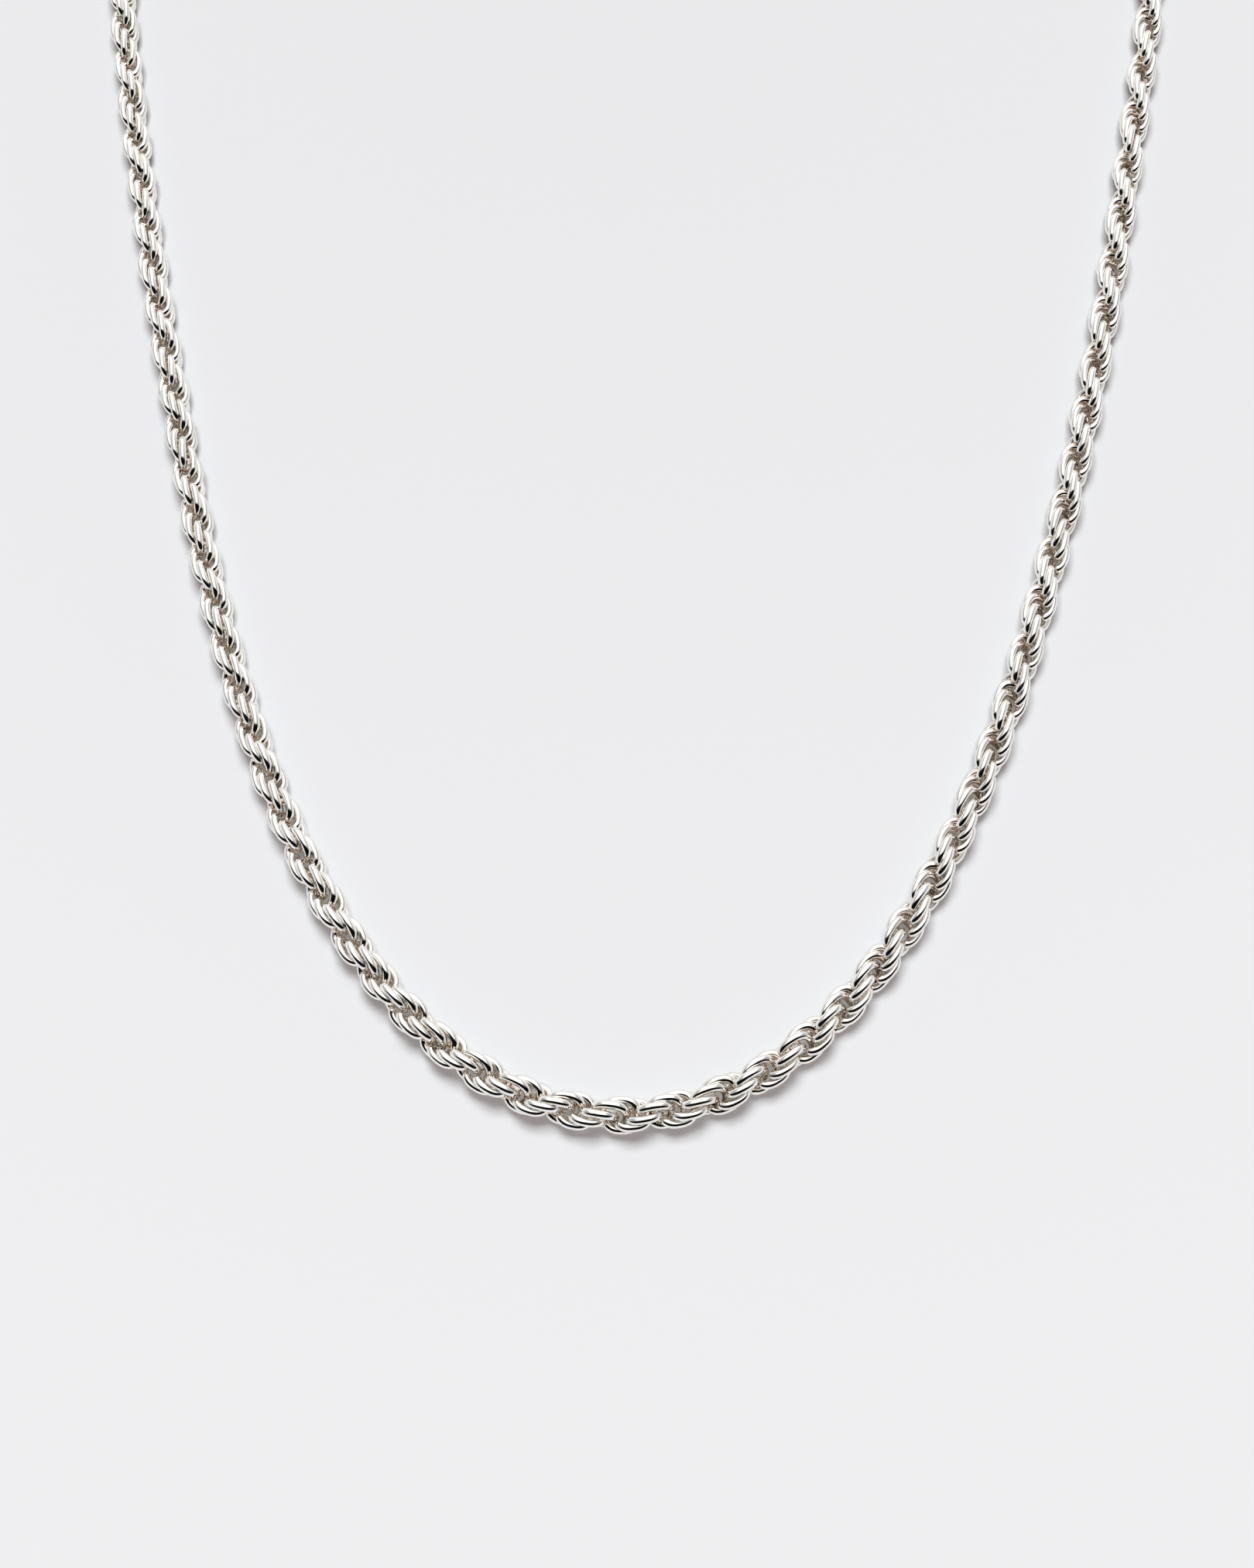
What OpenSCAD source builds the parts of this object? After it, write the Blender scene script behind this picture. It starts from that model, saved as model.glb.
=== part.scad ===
// Rope chain necklace, closed and laid flat in the curve that it hangs in.
// The front is a catenary, and round arcs lead to a straight line of fittings.
// Millimetres, +Z up, front of the loop towards -Y, origin under the middle.

/* [Chain] */
// Thickness of the rope across its links
chain_d = 3; // [2:0.1:5]
// Length of the whole necklace along its middle line, fittings included
necklace_len = 500; // [400:5:700]
// Radius of the bend at the lowest point of the front
front_r = 18.7; // [12:0.1:26]

/* [End caps] */
// Length of the barrel that holds an end of the rope
cap_len = 7; // [5:0.5:12]
// Wall of the barrel round the rope
cap_wall = 0.35; // [0.2:0.05:0.8]
// Depth that the rope goes into the barrel
socket_depth = 5; // [3:0.5:8]
// Hole of the eye on the barrel's closed end
eye_hole_d = 2; // [1.6:0.1:3]
// Wire of the eyes on the barrels and on the clasp
eye_wire_d = 0.9; // [0.6:0.1:1.2]

/* [Jump rings] */
// Outer width of a jump ring
ring_d = 5.5; // [5:0.1:8]
// Wire of a jump ring
ring_wire_d = 0.8; // [0.5:0.1:1.1]

/* [Clasp] */
// Outer width of the clasp's ring
clasp_w = 7; // [6:0.1:10]
// Thickness of the ring's round bar
clasp_bar_d = 1.6; // [1.2:0.1:1.8]

/* [Hidden] */
$fn = 48;

// Room left between pieces that go into each other
fit_gap = 0.08;
// Room between a jump ring's wire and the clasp's bar
hang_gap = 0.3;
// Rounding of the barrels' rims
rim_round = 0.3;

// Cross-section of the rope's body: eight flats, one of them on the ground
rope_sides = 8;
rope_half_angle = 180 / rope_sides;
rope_corner_r = chain_d / 2 / cos(rope_half_angle);
rope_rings = 79;

// Barrel of an end cap, and the height of its axis above the ground
socket_r = rope_corner_r + fit_gap;
cap_r = socket_r + cap_wall;
fitting_z = cap_r;
// Length over which the rope rises from the ground to the barrel's axis
rise_len = 12;

// Middle circles of the eyes and the rings
eye_mid_r = (eye_hole_d + eye_wire_d) / 2;
ring_mid_r = (ring_d - ring_wire_d) / 2;
clasp_mid_r = (clasp_w - clasp_bar_d) / 2;
// Half the distance between the two eyes that an upright ring holds
ring_hold = sqrt(pow(ring_mid_r, 2) - pow(ring_d / 2 - fitting_z, 2));
// The clasp holds one jump ring just inside its bar and the other in its eye
hook_hold = clasp_mid_r - clasp_bar_d / 2 - ring_wire_d / 2 - hang_gap;
clasp_reach = hook_hold + clasp_mid_r + clasp_bar_d / 2 + eye_mid_r;

// The front's catenary, by the slope at a point of it
function hang_x(slope) = front_r * ln(slope + sqrt(1 + slope * slope));
function hang_y(slope) = front_r * (sqrt(1 + slope * slope) - 1);

// Places along the straight line of fittings at the back, from its middle
ring_at = clasp_reach / 2 + ring_hold;
eye_at = ring_at + ring_hold;
barrel_at = eye_at + eye_mid_r;
mouth_at = barrel_at + cap_len;

// The back arc meets the catenary and the line of fittings without a corner
function back_r_at(slope) = (hang_x(slope) - mouth_at) / sin(atan(slope));
function half_len(slope) =
    front_r * slope + back_r_at(slope) * (180 - atan(slope)) * PI / 180 + mouth_at;

// The slope where the arc takes over, so that the loop has its length
function join_slope(low, high, steps) =
    steps == 0 ? (low + high) / 2 :
    half_len((low + high) / 2) > necklace_len / 2
        ? join_slope(low, (low + high) / 2, steps - 1)
        : join_slope((low + high) / 2, high, steps - 1);

slope_end = join_slope(0.5, necklace_len / 2 / front_r, 40);
front_half = front_r * slope_end;
arc_end = necklace_len / 2 - mouth_at;
back_r = back_r_at(slope_end);
arc_y = hang_y(slope_end) + back_r * cos(atan(slope_end));
back_y = arc_y + back_r;

// The loop's outer edges, front and back, set the middle of the frame
middle_y = (back_y + clasp_w / 2 - chain_d / 2) / 2;

// Heading of the middle line, s along the loop from its lowest point
function heading(s) =
    s <= front_half ? atan(s / front_r) :
    180 - max(0, arc_end - s) / back_r * 180 / PI;
function plane_point(s) =
    s <= front_half ? [hang_x(s / front_r), hang_y(s / front_r)] :
    s <= arc_end ? [mouth_at + back_r * sin(heading(s)), arc_y - back_r * cos(heading(s))] :
    [necklace_len / 2 - s, back_y];

// The rope lies on the ground and rises to the barrels' axis near its ends
function rope_height(s) =
    let (t = max(0, 1 - max(0, arc_end - s) / rise_len))
    chain_d / 2 + (fitting_z - chain_d / 2) * t * t * (3 - 2 * t);

// Eight corners round the middle line, on the right half or mirrored to the left
function rope_section(s) =
    let (p = plane_point(abs(s)), a = heading(abs(s)), half = s < 0 ? -1 : 1)
    [for (k = [0 : rope_sides - 1])
        let (c = (2 * k + 1) * rope_half_angle, side = rope_corner_r * cos(c))
        [half * (p[0] + side * sin(a)), p[1] - side * cos(a),
         rope_height(abs(s)) + rope_corner_r * sin(c)]];

module tube(sections) {
    rings = len(sections);
    sides = len(sections[0]);
    skin = [for (i = [0 : rings - 2], k = [0 : sides - 1])
        [i * sides + k, (i + 1) * sides + k,
         (i + 1) * sides + (k + 1) % sides, i * sides + (k + 1) % sides]];
    start = [for (k = [0 : sides - 1]) k];
    end = [for (k = [sides - 1 : -1 : 0]) (rings - 1) * sides + k];
    polyhedron([for (section = sections) each section], concat([start, end], skin));
}

// A place on the line of fittings at the back, x from its middle
module on_back(x) {
    translate([x, back_y - middle_y, fitting_z]) children();
}

module torus(mid_r, wire_d) {
    rotate_extrude() translate([mid_r, 0]) circle(d = wire_d, $fn = 24);
}

module rope_chain() {
    step = 2 * arc_end / (rope_rings - 3);
    stops = concat([-arc_end - socket_depth],
                   [for (i = [0 : rope_rings - 3]) i * step - arc_end],
                   [arc_end + socket_depth]);
    color("silver") translate([0, -middle_y, 0]) tube([for (s = stops) rope_section(s)]);
}

// Barrel with a socket for the rope, along +X, and a flat eye on its closed end
module end_cap() {
    color("silver") {
        torus(eye_mid_r, eye_wire_d);
        translate([eye_mid_r, 0, 0]) rotate([0, 90, 0]) difference() {
            rotate_extrude() barrel_outline();
            translate([0, 0, cap_len - socket_depth - fit_gap])
                cylinder(r = socket_r, h = socket_depth + 1);
        }
    }
}

// Half section of a barrel with rounded rims
module barrel_outline() {
    polygon(concat(
        [[0, 0]],
        [for (a = [-90 : 15 : 0])
            [cap_r - rim_round + rim_round * cos(a), rim_round + rim_round * sin(a)]],
        [for (a = [0 : 15 : 90])
            [cap_r - cap_wall / 2 + cap_wall / 2 * cos(a),
             cap_len - cap_wall / 2 + cap_wall / 2 * sin(a)]],
        [[0, cap_len]]));
}

module end_cap_right() {
    on_back(eye_at) end_cap();
}

module end_cap_left() {
    on_back(-eye_at) mirror([1, 0, 0]) end_cap();
}

// Upright ring that stands on the ground and runs through two flat eyes
module jump_ring(x) {
    color("silver") on_back(x)
        translate([0, 0, ring_d / 2 - fitting_z])
            rotate([90, 0, 0]) torus(ring_mid_r, ring_wire_d);
}

module jump_ring_left() {
    jump_ring(-ring_at);
}

module jump_ring_right() {
    jump_ring(ring_at);
}

// Plain closed ring of round bar, with a small eye at its right
module clasp() {
    color("silver") on_back(0) translate([hook_hold - clasp_reach / 2, 0, 0]) {
        torus(clasp_mid_r, clasp_bar_d);
        translate([clasp_reach - hook_hold, 0, 0]) torus(eye_mid_r, eye_wire_d);
    }
}

rope_chain();
end_cap_left();
end_cap_right();
jump_ring_left();
jump_ring_right();
clasp();
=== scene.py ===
import math

import bpy
import numpy as np
from mathutils import Matrix, Vector


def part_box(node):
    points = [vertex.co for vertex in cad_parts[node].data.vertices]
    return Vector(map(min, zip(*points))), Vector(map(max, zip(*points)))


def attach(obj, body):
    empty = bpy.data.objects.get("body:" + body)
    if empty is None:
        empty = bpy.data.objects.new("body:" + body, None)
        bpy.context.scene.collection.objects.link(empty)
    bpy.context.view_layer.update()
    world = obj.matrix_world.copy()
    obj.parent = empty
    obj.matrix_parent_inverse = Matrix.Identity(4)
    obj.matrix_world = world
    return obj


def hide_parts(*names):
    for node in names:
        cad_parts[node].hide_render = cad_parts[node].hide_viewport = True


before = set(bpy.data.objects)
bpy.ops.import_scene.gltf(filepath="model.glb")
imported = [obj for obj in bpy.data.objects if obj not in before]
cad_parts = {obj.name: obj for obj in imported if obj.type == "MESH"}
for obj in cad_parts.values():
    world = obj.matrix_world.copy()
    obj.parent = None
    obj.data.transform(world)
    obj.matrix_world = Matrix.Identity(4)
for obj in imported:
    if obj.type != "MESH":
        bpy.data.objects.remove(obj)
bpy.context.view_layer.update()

# Rope chain necklace, laid flat on a pale surface. Lengths in metres.

mm = 0.001


# The loop's middle line

loop = {
    "necklaceLength": 500 * mm,   # whole loop, fittings included
    "ropeThickness": 3 * mm,
    "frontRadius": 18.7 * mm,     # bend at the lowest point of the front
    "socketDepth": 5 * mm,        # rope inside each end cap
    "riseLength": 12 * mm,        # the rope climbs to the caps over this length
    # how far inside the even curve the rope lies, at places along the loop
    "layAt": [-160 * mm, -121 * mm, -80 * mm, -38 * mm, -5 * mm, 25 * mm, 62 * mm, 103 * mm,
              118 * mm, 160 * mm],
    "lay": [0, -0.55 * mm, 0.2 * mm, -0.15 * mm, 0.05 * mm, -0.1 * mm, 0.2 * mm, -0.15 * mm,
            -0.55 * mm, 0],
}

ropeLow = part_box("rope_chain")[0]
capLow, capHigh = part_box("end_cap_right")
ropeRadius = loop["ropeThickness"] / 2
fittingHeight = (capLow.z + capHigh.z) / 2
mouthAt = capHigh.x                       # the caps' mouths, from the middle
frontY = ropeLow.y + ropeRadius           # middle line at the lowest point
backY = (capLow.y + capHigh.y) / 2        # straight line of fittings
halfLoop = loop["necklaceLength"] / 2
arcEnd = halfLoop - mouthAt


def hangX(slope):
    return loop["frontRadius"] * math.asinh(slope)


def hangY(slope):
    return loop["frontRadius"] * (math.sqrt(1 + slope * slope) - 1)


def backRadiusAt(slope):
    return (hangX(slope) - mouthAt) / math.sin(math.atan(slope))


def findJoin():
    # slope at which the round back takes over from the hanging curve
    low, high = 0.5, halfLoop / loop["frontRadius"]
    for _ in range(50):
        slope = (low + high) / 2
        half = (loop["frontRadius"] * slope + mouthAt
                + backRadiusAt(slope) * (math.pi - math.atan(slope)))
        low, high = (low, slope) if half > halfLoop else (slope, high)
    return slope


joinSlope = findJoin()
frontHalf = loop["frontRadius"] * joinSlope
backRadius = backRadiusAt(joinSlope)
arcY = frontY + hangY(joinSlope) + backRadius * math.cos(math.atan(joinSlope))


def evenPoint(s):
    # on the even curve, s along the loop from the lowest point of the front, left of it negative
    side, along = (-1, -s) if s < 0 else (1, s)
    t = max(0, 1 - max(0, arcEnd - along) / loop["riseLength"])
    z = ropeRadius + (fittingHeight - ropeRadius) * t * t * (3 - 2 * t)
    if along <= frontHalf:
        slope = along / loop["frontRadius"]
        return Vector((side * hangX(slope), frontY + hangY(slope), z))
    if along <= arcEnd:
        turn = math.pi - (arcEnd - along) / backRadius
        x = mouthAt + backRadius * math.sin(turn)
        return Vector((side * x, arcY - backRadius * math.cos(turn), z))
    return Vector((side * (halfLoop - along), backY, z))


def directionAt(s, pointAt, reach):
    return (pointAt(s + reach) - pointAt(s - reach)).normalized()


def middlePoint(s):
    # where the rope really lies
    ahead = directionAt(s, evenPoint, 0.1 * mm)
    inward = Vector((-ahead.y, ahead.x, 0)).normalized()
    return evenPoint(s) + inward * float(np.interp(s, loop["layAt"], loop["lay"]))


# Rope of interlocked links

rope = {
    "wire": 0.68 * mm,        # wire of a link
    "long": 1.12,             # length over width of a link's ring
    "square": 0.8,            # 1 for an even oval, less for straighter sides
    "advance": 0.866 * mm,    # from one link to the next along the rope
    "firstPlace": 0 * mm,     # the link nearest to the lowest point of the front
    "firstTurn": -73,         # degrees, its turn about the rope's line, 0 with a side on top
    "lean": 3,                # degrees that a link leans out of the rope's line
    "opening": 74,            # degrees of a link left open: another link's end sits there
    "loosePlace": 0.03 * mm,  # links are never quite even
    "looseTurn": 3,
    "looseLean": 2.0,
    "chance": 5,              # another number gives other small differences
    "ringSteps": 34,
    "wireSides": 12,
    "tipRings": (0.12, 0.24, 0.35, 0.43, 0.48),   # of the round tips, in wire widths past the end
    "stretches": 4,           # the rope is made as this many joined meshes
    # length of half a turn of the strands, at places along the loop
    "halfTurnAt": [-160 * mm, -100 * mm, -65 * mm, -15 * mm, 15 * mm, 60 * mm, 100 * mm,
                   125 * mm, 160 * mm],
    "halfTurn": [4.2 * mm, 4.57 * mm, 4.25 * mm, 3.82 * mm, 3.92 * mm, 4.51 * mm, 5.32 * mm,
                 5.32 * mm, 4.2 * mm],
    # the rope is drawn out by this share, and thinner by it, at places along the loop
    "pullAt": [-160 * mm, -120 * mm, -45 * mm, -15 * mm, 20 * mm, 60 * mm, 120 * mm, 160 * mm],
    "pull": [1, 1.12, 1.06, 1, 1, 1.06, 1.12, 1],
}


def pullAt(place):
    return float(np.interp(place, rope["pullAt"], rope["pull"]))


def linkPlaces():
    ropeHalf = arcEnd + loop["socketDepth"] - 2 * rope["advance"]
    places = [rope["firstPlace"]]
    while places[-1] < ropeHalf:
        places.append(places[-1] + rope["advance"] * pullAt(places[-1]))
    while places[0] > -ropeHalf:
        places.insert(0, places[0] - rope["advance"] * pullAt(places[0]))
    return np.array(places)


def turnsAt(places):
    # how far the rope has turned, left-handed
    step = 0.05 * mm
    fine = np.arange(-halfLoop, halfLoop, step)
    halfTurns = np.cumsum(step / np.interp(fine, rope["halfTurnAt"], rope["halfTurn"]))
    halfTurns = np.interp(places, fine, halfTurns) - np.interp(0, fine, halfTurns)
    return math.radians(rope["firstTurn"]) - math.pi * halfTurns


def linkShape():
    # middle line of a link's wire in its own plane, its direction, and the wire's thickness
    half = math.radians(rope["opening"]) / 2
    angle = np.linspace(half - math.pi / 2, 1.5 * math.pi - half, rope["ringSteps"] + 1)
    radius = ropeRadius - rope["wire"] / 2
    middle = radius * np.stack([np.sign(f) * np.abs(f) ** rope["square"]
                                for f in (np.cos(angle), np.sin(angle))], axis=1)
    middle[:, 1] *= rope["long"]
    forward = np.gradient(middle, axis=0)
    forward /= np.linalg.norm(forward, axis=1, keepdims=True)
    thick = np.ones(len(middle))
    for past in rope["tipRings"]:
        first = middle[thick == 1][0] - past * rope["wire"] * forward[0]
        last = middle[thick == 1][-1] + past * rope["wire"] * forward[-1]
        size = math.sqrt(1 - (2 * past) ** 2)
        middle = np.concatenate([[first], middle, [last]])
        forward = np.concatenate([forward[:1], forward, forward[-1:]])
        thick = np.concatenate([[size], thick, [size]])
    return middle, forward, thick[:, None, None]


def linkPoints(place, turn, lean, shape):
    # open ring of wire round the rope's middle line, as a grid of points
    centre = middlePoint(place)
    ahead = directionAt(place, middlePoint, 0.2 * mm)
    aside = ahead.cross(Vector((0, 0, 1))).normalized()
    up = aside.cross(ahead)
    outward = math.cos(turn) * up + math.sin(turn) * aside
    around = ahead.cross(outward)
    along = math.cos(lean) * ahead + math.sin(lean) * around
    centre, ahead, outward, along = map(np.array, (centre, ahead, outward, along))
    middle, forward, thick = shape
    middle = centre + middle[:, :1] * outward + middle[:, 1:] * along
    radial = forward[:, 1:] * outward - forward[:, :1] * along
    turns = np.linspace(0, 2 * math.pi, rope["wireSides"], endpoint=False)[None, :, None]
    points = middle[:, None, :] + rope["wire"] / 2 * thick * (
        np.cos(turns) * radial[:, None, :] + np.sin(turns) * np.cross(outward, along))
    points -= centre
    # distance from the rope's middle line, which sets the painted crevice shade
    reach = np.linalg.norm(np.cross(points, ahead), axis=2) / ropeRadius
    pull = pullAt(place)
    lengthwise = (points @ ahead)[:, :, None] * ahead
    points = centre + points / pull + lengthwise * (pull - 1 / pull)
    return points.reshape(-1, 3), reach.reshape(-1)


def linkFaces(rows):
    sides = rope["wireSides"]
    i, j = np.meshgrid(np.arange(rows - 1), np.arange(sides), indexing="ij")
    nextJ = (j + 1) % sides
    skin = np.stack([i * sides + j, i * sides + nextJ, (i + 1) * sides + nextJ,
                     (i + 1) * sides + j], axis=2).reshape(-1, 4).tolist()
    return skin, [list(range(sides))[::-1], list(range((rows - 1) * sides, rows * sides))]


def makeStretch(name, places, turns, leans):
    points, reaches, faces = [], [], []
    shape = linkShape()
    skin, tips = linkFaces(len(shape[0]))
    for place, turn, lean in zip(places, turns, leans):
        start = sum(len(p) for p in points)
        p, r = linkPoints(place, turn, lean, shape)
        points.append(p)
        reaches.append(r)
        faces += [[start + corner for corner in face] for face in skin + tips]
    mesh = bpy.data.meshes.new(name)
    mesh.from_pydata(np.concatenate(points), [], faces)
    mesh.shade_smooth()
    mesh.attributes.new("reach", "FLOAT", "POINT").data.foreach_set("value", np.concatenate(reaches))
    piece = bpy.data.objects.new(name, mesh)
    bpy.context.scene.collection.objects.link(piece)
    return piece


# Silver

silver = {
    "bright": (0.975, 0.957, 0.923, 1),
    "paintedCreviceShade": (0.945, 0.855, 0.76, 1),   # painted shade and warm interreflection: the metal's colour near the rope's middle, in its crevices
    "paintedShadeFull": 0.30,                      # reach at which the painted shade is full
    "paintedShadeGone": 0.75,                      # reach from which the metal is bright, with no painted shade
    "handled": (0.905, 0.877, 0.833, 1),  # the duller patches of worn silver
    "handledFrom": (0.45, 0.75),        # share of the patches' noise over which the tone dulls
    "patches": (260, 3),                # scale per metre and detail of the noise
    "marks": (2600, 4),
    "markDepth": 0.006 * mm,
    "roughness": (0.042, 0.126),
    "roughFrom": (0.35, 0.7),           # share of the patches' noise over which it grows rough
}


def makeSilver(name, withPaintedCreviceShade):
    material = bpy.data.materials.new(name)
    material.use_nodes = True
    nodes, links = material.node_tree.nodes, material.node_tree.links
    shader = nodes["Principled BSDF"]
    shader.inputs["Metallic"].default_value = 1
    coordinates = nodes.new("ShaderNodeTexCoord")

    def noise(scale, detail):
        node = nodes.new("ShaderNodeTexNoise")
        node.inputs["Scale"].default_value = scale
        node.inputs["Detail"].default_value = detail
        links.new(coordinates.outputs["Object"], node.inputs["Vector"])
        return node.outputs["Fac"]

    patches = noise(*silver["patches"])
    marks = noise(*silver["marks"])
    rough = nodes.new("ShaderNodeMapRange")     # duller where the metal was handled
    rough.inputs["From Min"].default_value, rough.inputs["From Max"].default_value = silver["roughFrom"]
    rough.inputs["To Min"].default_value, rough.inputs["To Max"].default_value = silver["roughness"]
    links.new(patches, rough.inputs["Value"])
    links.new(rough.outputs["Result"], shader.inputs["Roughness"])
    dents = nodes.new("ShaderNodeBump")         # fine marks of wear
    dents.inputs["Strength"].default_value = 1
    dents.inputs["Distance"].default_value = silver["markDepth"]
    links.new(marks, dents.inputs["Height"])
    links.new(dents.outputs["Normal"], shader.inputs["Normal"])
    tone = nodes.new("ShaderNodeValToRGB")
    for stop, position, colour in zip(tone.color_ramp.elements, silver["handledFrom"],
                                      (silver["bright"], silver["handled"])):
        stop.position = position
        stop.color = colour
    links.new(patches, tone.inputs["Fac"])
    colour = tone.outputs["Color"]
    # painted shade: the colour darkens and warms towards the rope's middle, standing in for shade and
    # interreflection in the crevices
    if withPaintedCreviceShade:
        reach = nodes.new("ShaderNodeAttribute")
        reach.attribute_name = "reach"
        outer = nodes.new("ShaderNodeMapRange")
        outer.inputs["From Min"].default_value = silver["paintedShadeFull"]
        outer.inputs["From Max"].default_value = silver["paintedShadeGone"]
        links.new(reach.outputs["Fac"], outer.inputs["Value"])
        mixed = nodes.new("ShaderNodeMix")
        mixed.data_type = "RGBA"
        links.new(outer.outputs["Result"], mixed.inputs["Factor"])
        mixed.inputs["A"].default_value = silver["paintedCreviceShade"]
        links.new(colour, mixed.inputs["B"])
        colour = mixed.outputs["Result"]
    links.new(colour, shader.inputs["Base Color"])
    return material


# Camera

camera = {
    "place": (6.77 * mm, -119.76 * mm, 144.49 * mm),
    "tilt": 18.86, "heading": 7.68, "roll": -7.63,   # degrees
    "focalPixels": 2400,
    "pictureHeight": 2025,
    "sensor": 36,
    "clip": (5 * mm, 20),
}


def makeCamera():
    data = bpy.data.cameras.new("camera")
    data.sensor_width = camera["sensor"]
    data.lens = camera["focalPixels"] / camera["pictureHeight"] * data.sensor_width
    data.clip_start, data.clip_end = camera["clip"]
    holder = bpy.data.objects.new("camera", data)
    bpy.context.scene.collection.objects.link(holder)
    turn = (Matrix.Rotation(math.radians(camera["heading"]), 4, "Z")
            @ Matrix.Rotation(math.radians(camera["tilt"]), 4, "X")
            @ Matrix.Rotation(math.radians(camera["roll"]), 4, "Z"))
    holder.matrix_world = Matrix.Translation(camera["place"]) @ turn
    bpy.context.scene.camera = holder


# Floor and light

studio = {
    "floorSize": 4,
    "floorColour": (0.50, 0.50, 0.50, 1),
    "floorRoughness": 0.9,
    "floorGlow": (0.757, 0.81, 0.832, 1),   # evens the floor out where the box's light fades
    "boxSize": (0.15, 0.15),
    "boxPlace": (0.0, 0.02, 0.3),     # near, so that the shadows fall outwards
    "boxPower": 1.57,
    "boxColour": (0.883, 0.947, 0.980),
    "fill": (0.19, 0.07, 0.045, 1),   # light of the room on matt things
    # the room that the silver mirrors, by direction: a white wall and ceiling towards +Y,
    # a dark corner behind the camera, and a pale band at the horizon
    "wallLight": 1.28,
    "darkLight": 0.004,
    "bandLight": 0.8,
    "wallFrom": (-0.20, 0.02),     # share of +Y over which the dark gives way to the wall
    "wallSides": (0.30, 0.66),     # share of X over which the wall gives way to the sides
    "sideLight": 0.45,
    "bandTop": (0.23, 0.37),       # share of Z over which the band ends
}


def makeFloor():
    half = studio["floorSize"] / 2
    mesh = bpy.data.meshes.new("floor")
    mesh.from_pydata([(-half, -half, 0), (half, -half, 0), (half, half, 0), (-half, half, 0)],
                     [], [(0, 1, 2, 3)])
    floor = bpy.data.objects.new("floor", mesh)
    bpy.context.scene.collection.objects.link(floor)
    material = bpy.data.materials.new("pale floor")
    material.use_nodes = True
    shader = material.node_tree.nodes["Principled BSDF"]
    shader.inputs["Base Color"].default_value = studio["floorColour"]
    shader.inputs["Roughness"].default_value = studio["floorRoughness"]
    shader.inputs["Emission Color"].default_value = studio["floorGlow"]
    nodes, links = material.node_tree.nodes, material.node_tree.links
    coordinates = nodes.new("ShaderNodeTexCoord")
    away = nodes.new("ShaderNodeVectorMath")
    away.operation = "DISTANCE"
    away.inputs[1].default_value = (*studio["boxPlace"][:2], 0)
    links.new(coordinates.outputs["Object"], away.inputs[0])
    value = away.outputs["Value"]
    # 1 - (1 + (distance / height) ** 2) ** -2
    for operation, number in (("DIVIDE", studio["boxPlace"][2]), ("POWER", 2), ("ADD", 1),
                              ("POWER", -2), ("MULTIPLY", -1), ("ADD", 1)):
        step = nodes.new("ShaderNodeMath")
        step.operation = operation
        step.inputs[1].default_value = number
        links.new(value, step.inputs[0])
        value = step.outputs[0]
    links.new(value, shader.inputs["Emission Strength"])
    mesh.materials.append(material)


def makeLight():
    data = bpy.data.lights.new("softbox", "AREA")
    data.shape = "RECTANGLE"
    data.size, data.size_y = studio["boxSize"]
    data.energy = studio["boxPower"]
    data.color = studio["boxColour"]
    box = bpy.data.objects.new("softbox", data)
    box.location = studio["boxPlace"]
    box.visible_glossy = False    # the silver mirrors the room alone
    bpy.context.scene.collection.objects.link(box)


def makeWorld():
    world = bpy.data.worlds.new("room")
    bpy.context.scene.world = world
    world.use_nodes = True
    nodes, links = world.node_tree.nodes, world.node_tree.links
    coordinates = nodes.new("ShaderNodeTexCoord")
    axes = nodes.new("ShaderNodeSeparateXYZ")
    links.new(coordinates.outputs["Generated"], axes.inputs["Vector"])

    def fade(source, span, low, high):
        # from low to high, a level or a socket, as the source crosses the span
        node = nodes.new("ShaderNodeMapRange")
        node.interpolation_type = "SMOOTHSTEP"
        links.new(source, node.inputs["Value"])
        node.inputs["From Min"].default_value, node.inputs["From Max"].default_value = span
        for name, level in (("To Min", low), ("To Max", high)):
            if isinstance(level, float):
                node.inputs[name].default_value = level
            else:
                links.new(level, node.inputs[name])
        return node.outputs["Result"]

    sideways = nodes.new("ShaderNodeMath")
    sideways.operation = "ABSOLUTE"
    links.new(axes.outputs["X"], sideways.inputs[0])
    wall = fade(sideways.outputs[0], studio["wallSides"], studio["wallLight"], studio["sideLight"])
    room = fade(axes.outputs["Y"], studio["wallFrom"], studio["darkLight"], wall)
    level = fade(axes.outputs["Z"], studio["bandTop"], studio["bandLight"], room)
    ray = nodes.new("ShaderNodeLightPath")
    matt = nodes.new("ShaderNodeMix")
    matt.data_type = "RGBA"
    links.new(ray.outputs["Diffuse Depth"], matt.inputs["Factor"])
    links.new(level, matt.inputs["A"])
    matt.inputs["B"].default_value = studio["fill"]
    links.new(matt.outputs["Result"], nodes["Background"].inputs["Color"])


print("camera, floor and light")
bpy.context.scene.view_settings.view_transform = "Standard"
makeCamera()
makeFloor()
makeLight()
makeWorld()

print("rope")
# the links' silver carries the painted crevice shade, the fittings' silver does not
silverLinks = makeSilver("polished silver links", True)
silverParts = makeSilver("polished silver", False)
places = linkPlaces()
turns = turnsAt(places)
chance = np.random.default_rng(rope["chance"])
leans = math.radians(rope["lean"]) + chance.normal(0, math.radians(rope["looseLean"]), len(places))
places = places + chance.normal(0, rope["loosePlace"], len(places))
turns = turns + chance.normal(0, math.radians(rope["looseTurn"]), len(places))
edges = np.linspace(0, len(places), rope["stretches"] + 1).astype(int)
for number, (first, last) in enumerate(zip(edges[:-1], edges[1:])):
    piece = makeStretch(f"rope_links_{number + 1}", places[first:last], turns[first:last],
                        leans[first:last])
    piece.data.materials.append(silverLinks)
    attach(piece, "root")
    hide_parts("rope_chain")
print(len(places), "links")

print("fittings")
for name in ("end_cap_left", "end_cap_right", "jump_ring_left", "jump_ring_right", "clasp"):
    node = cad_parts[name]
    node.data.materials.clear()
    node.data.materials.append(silverParts)
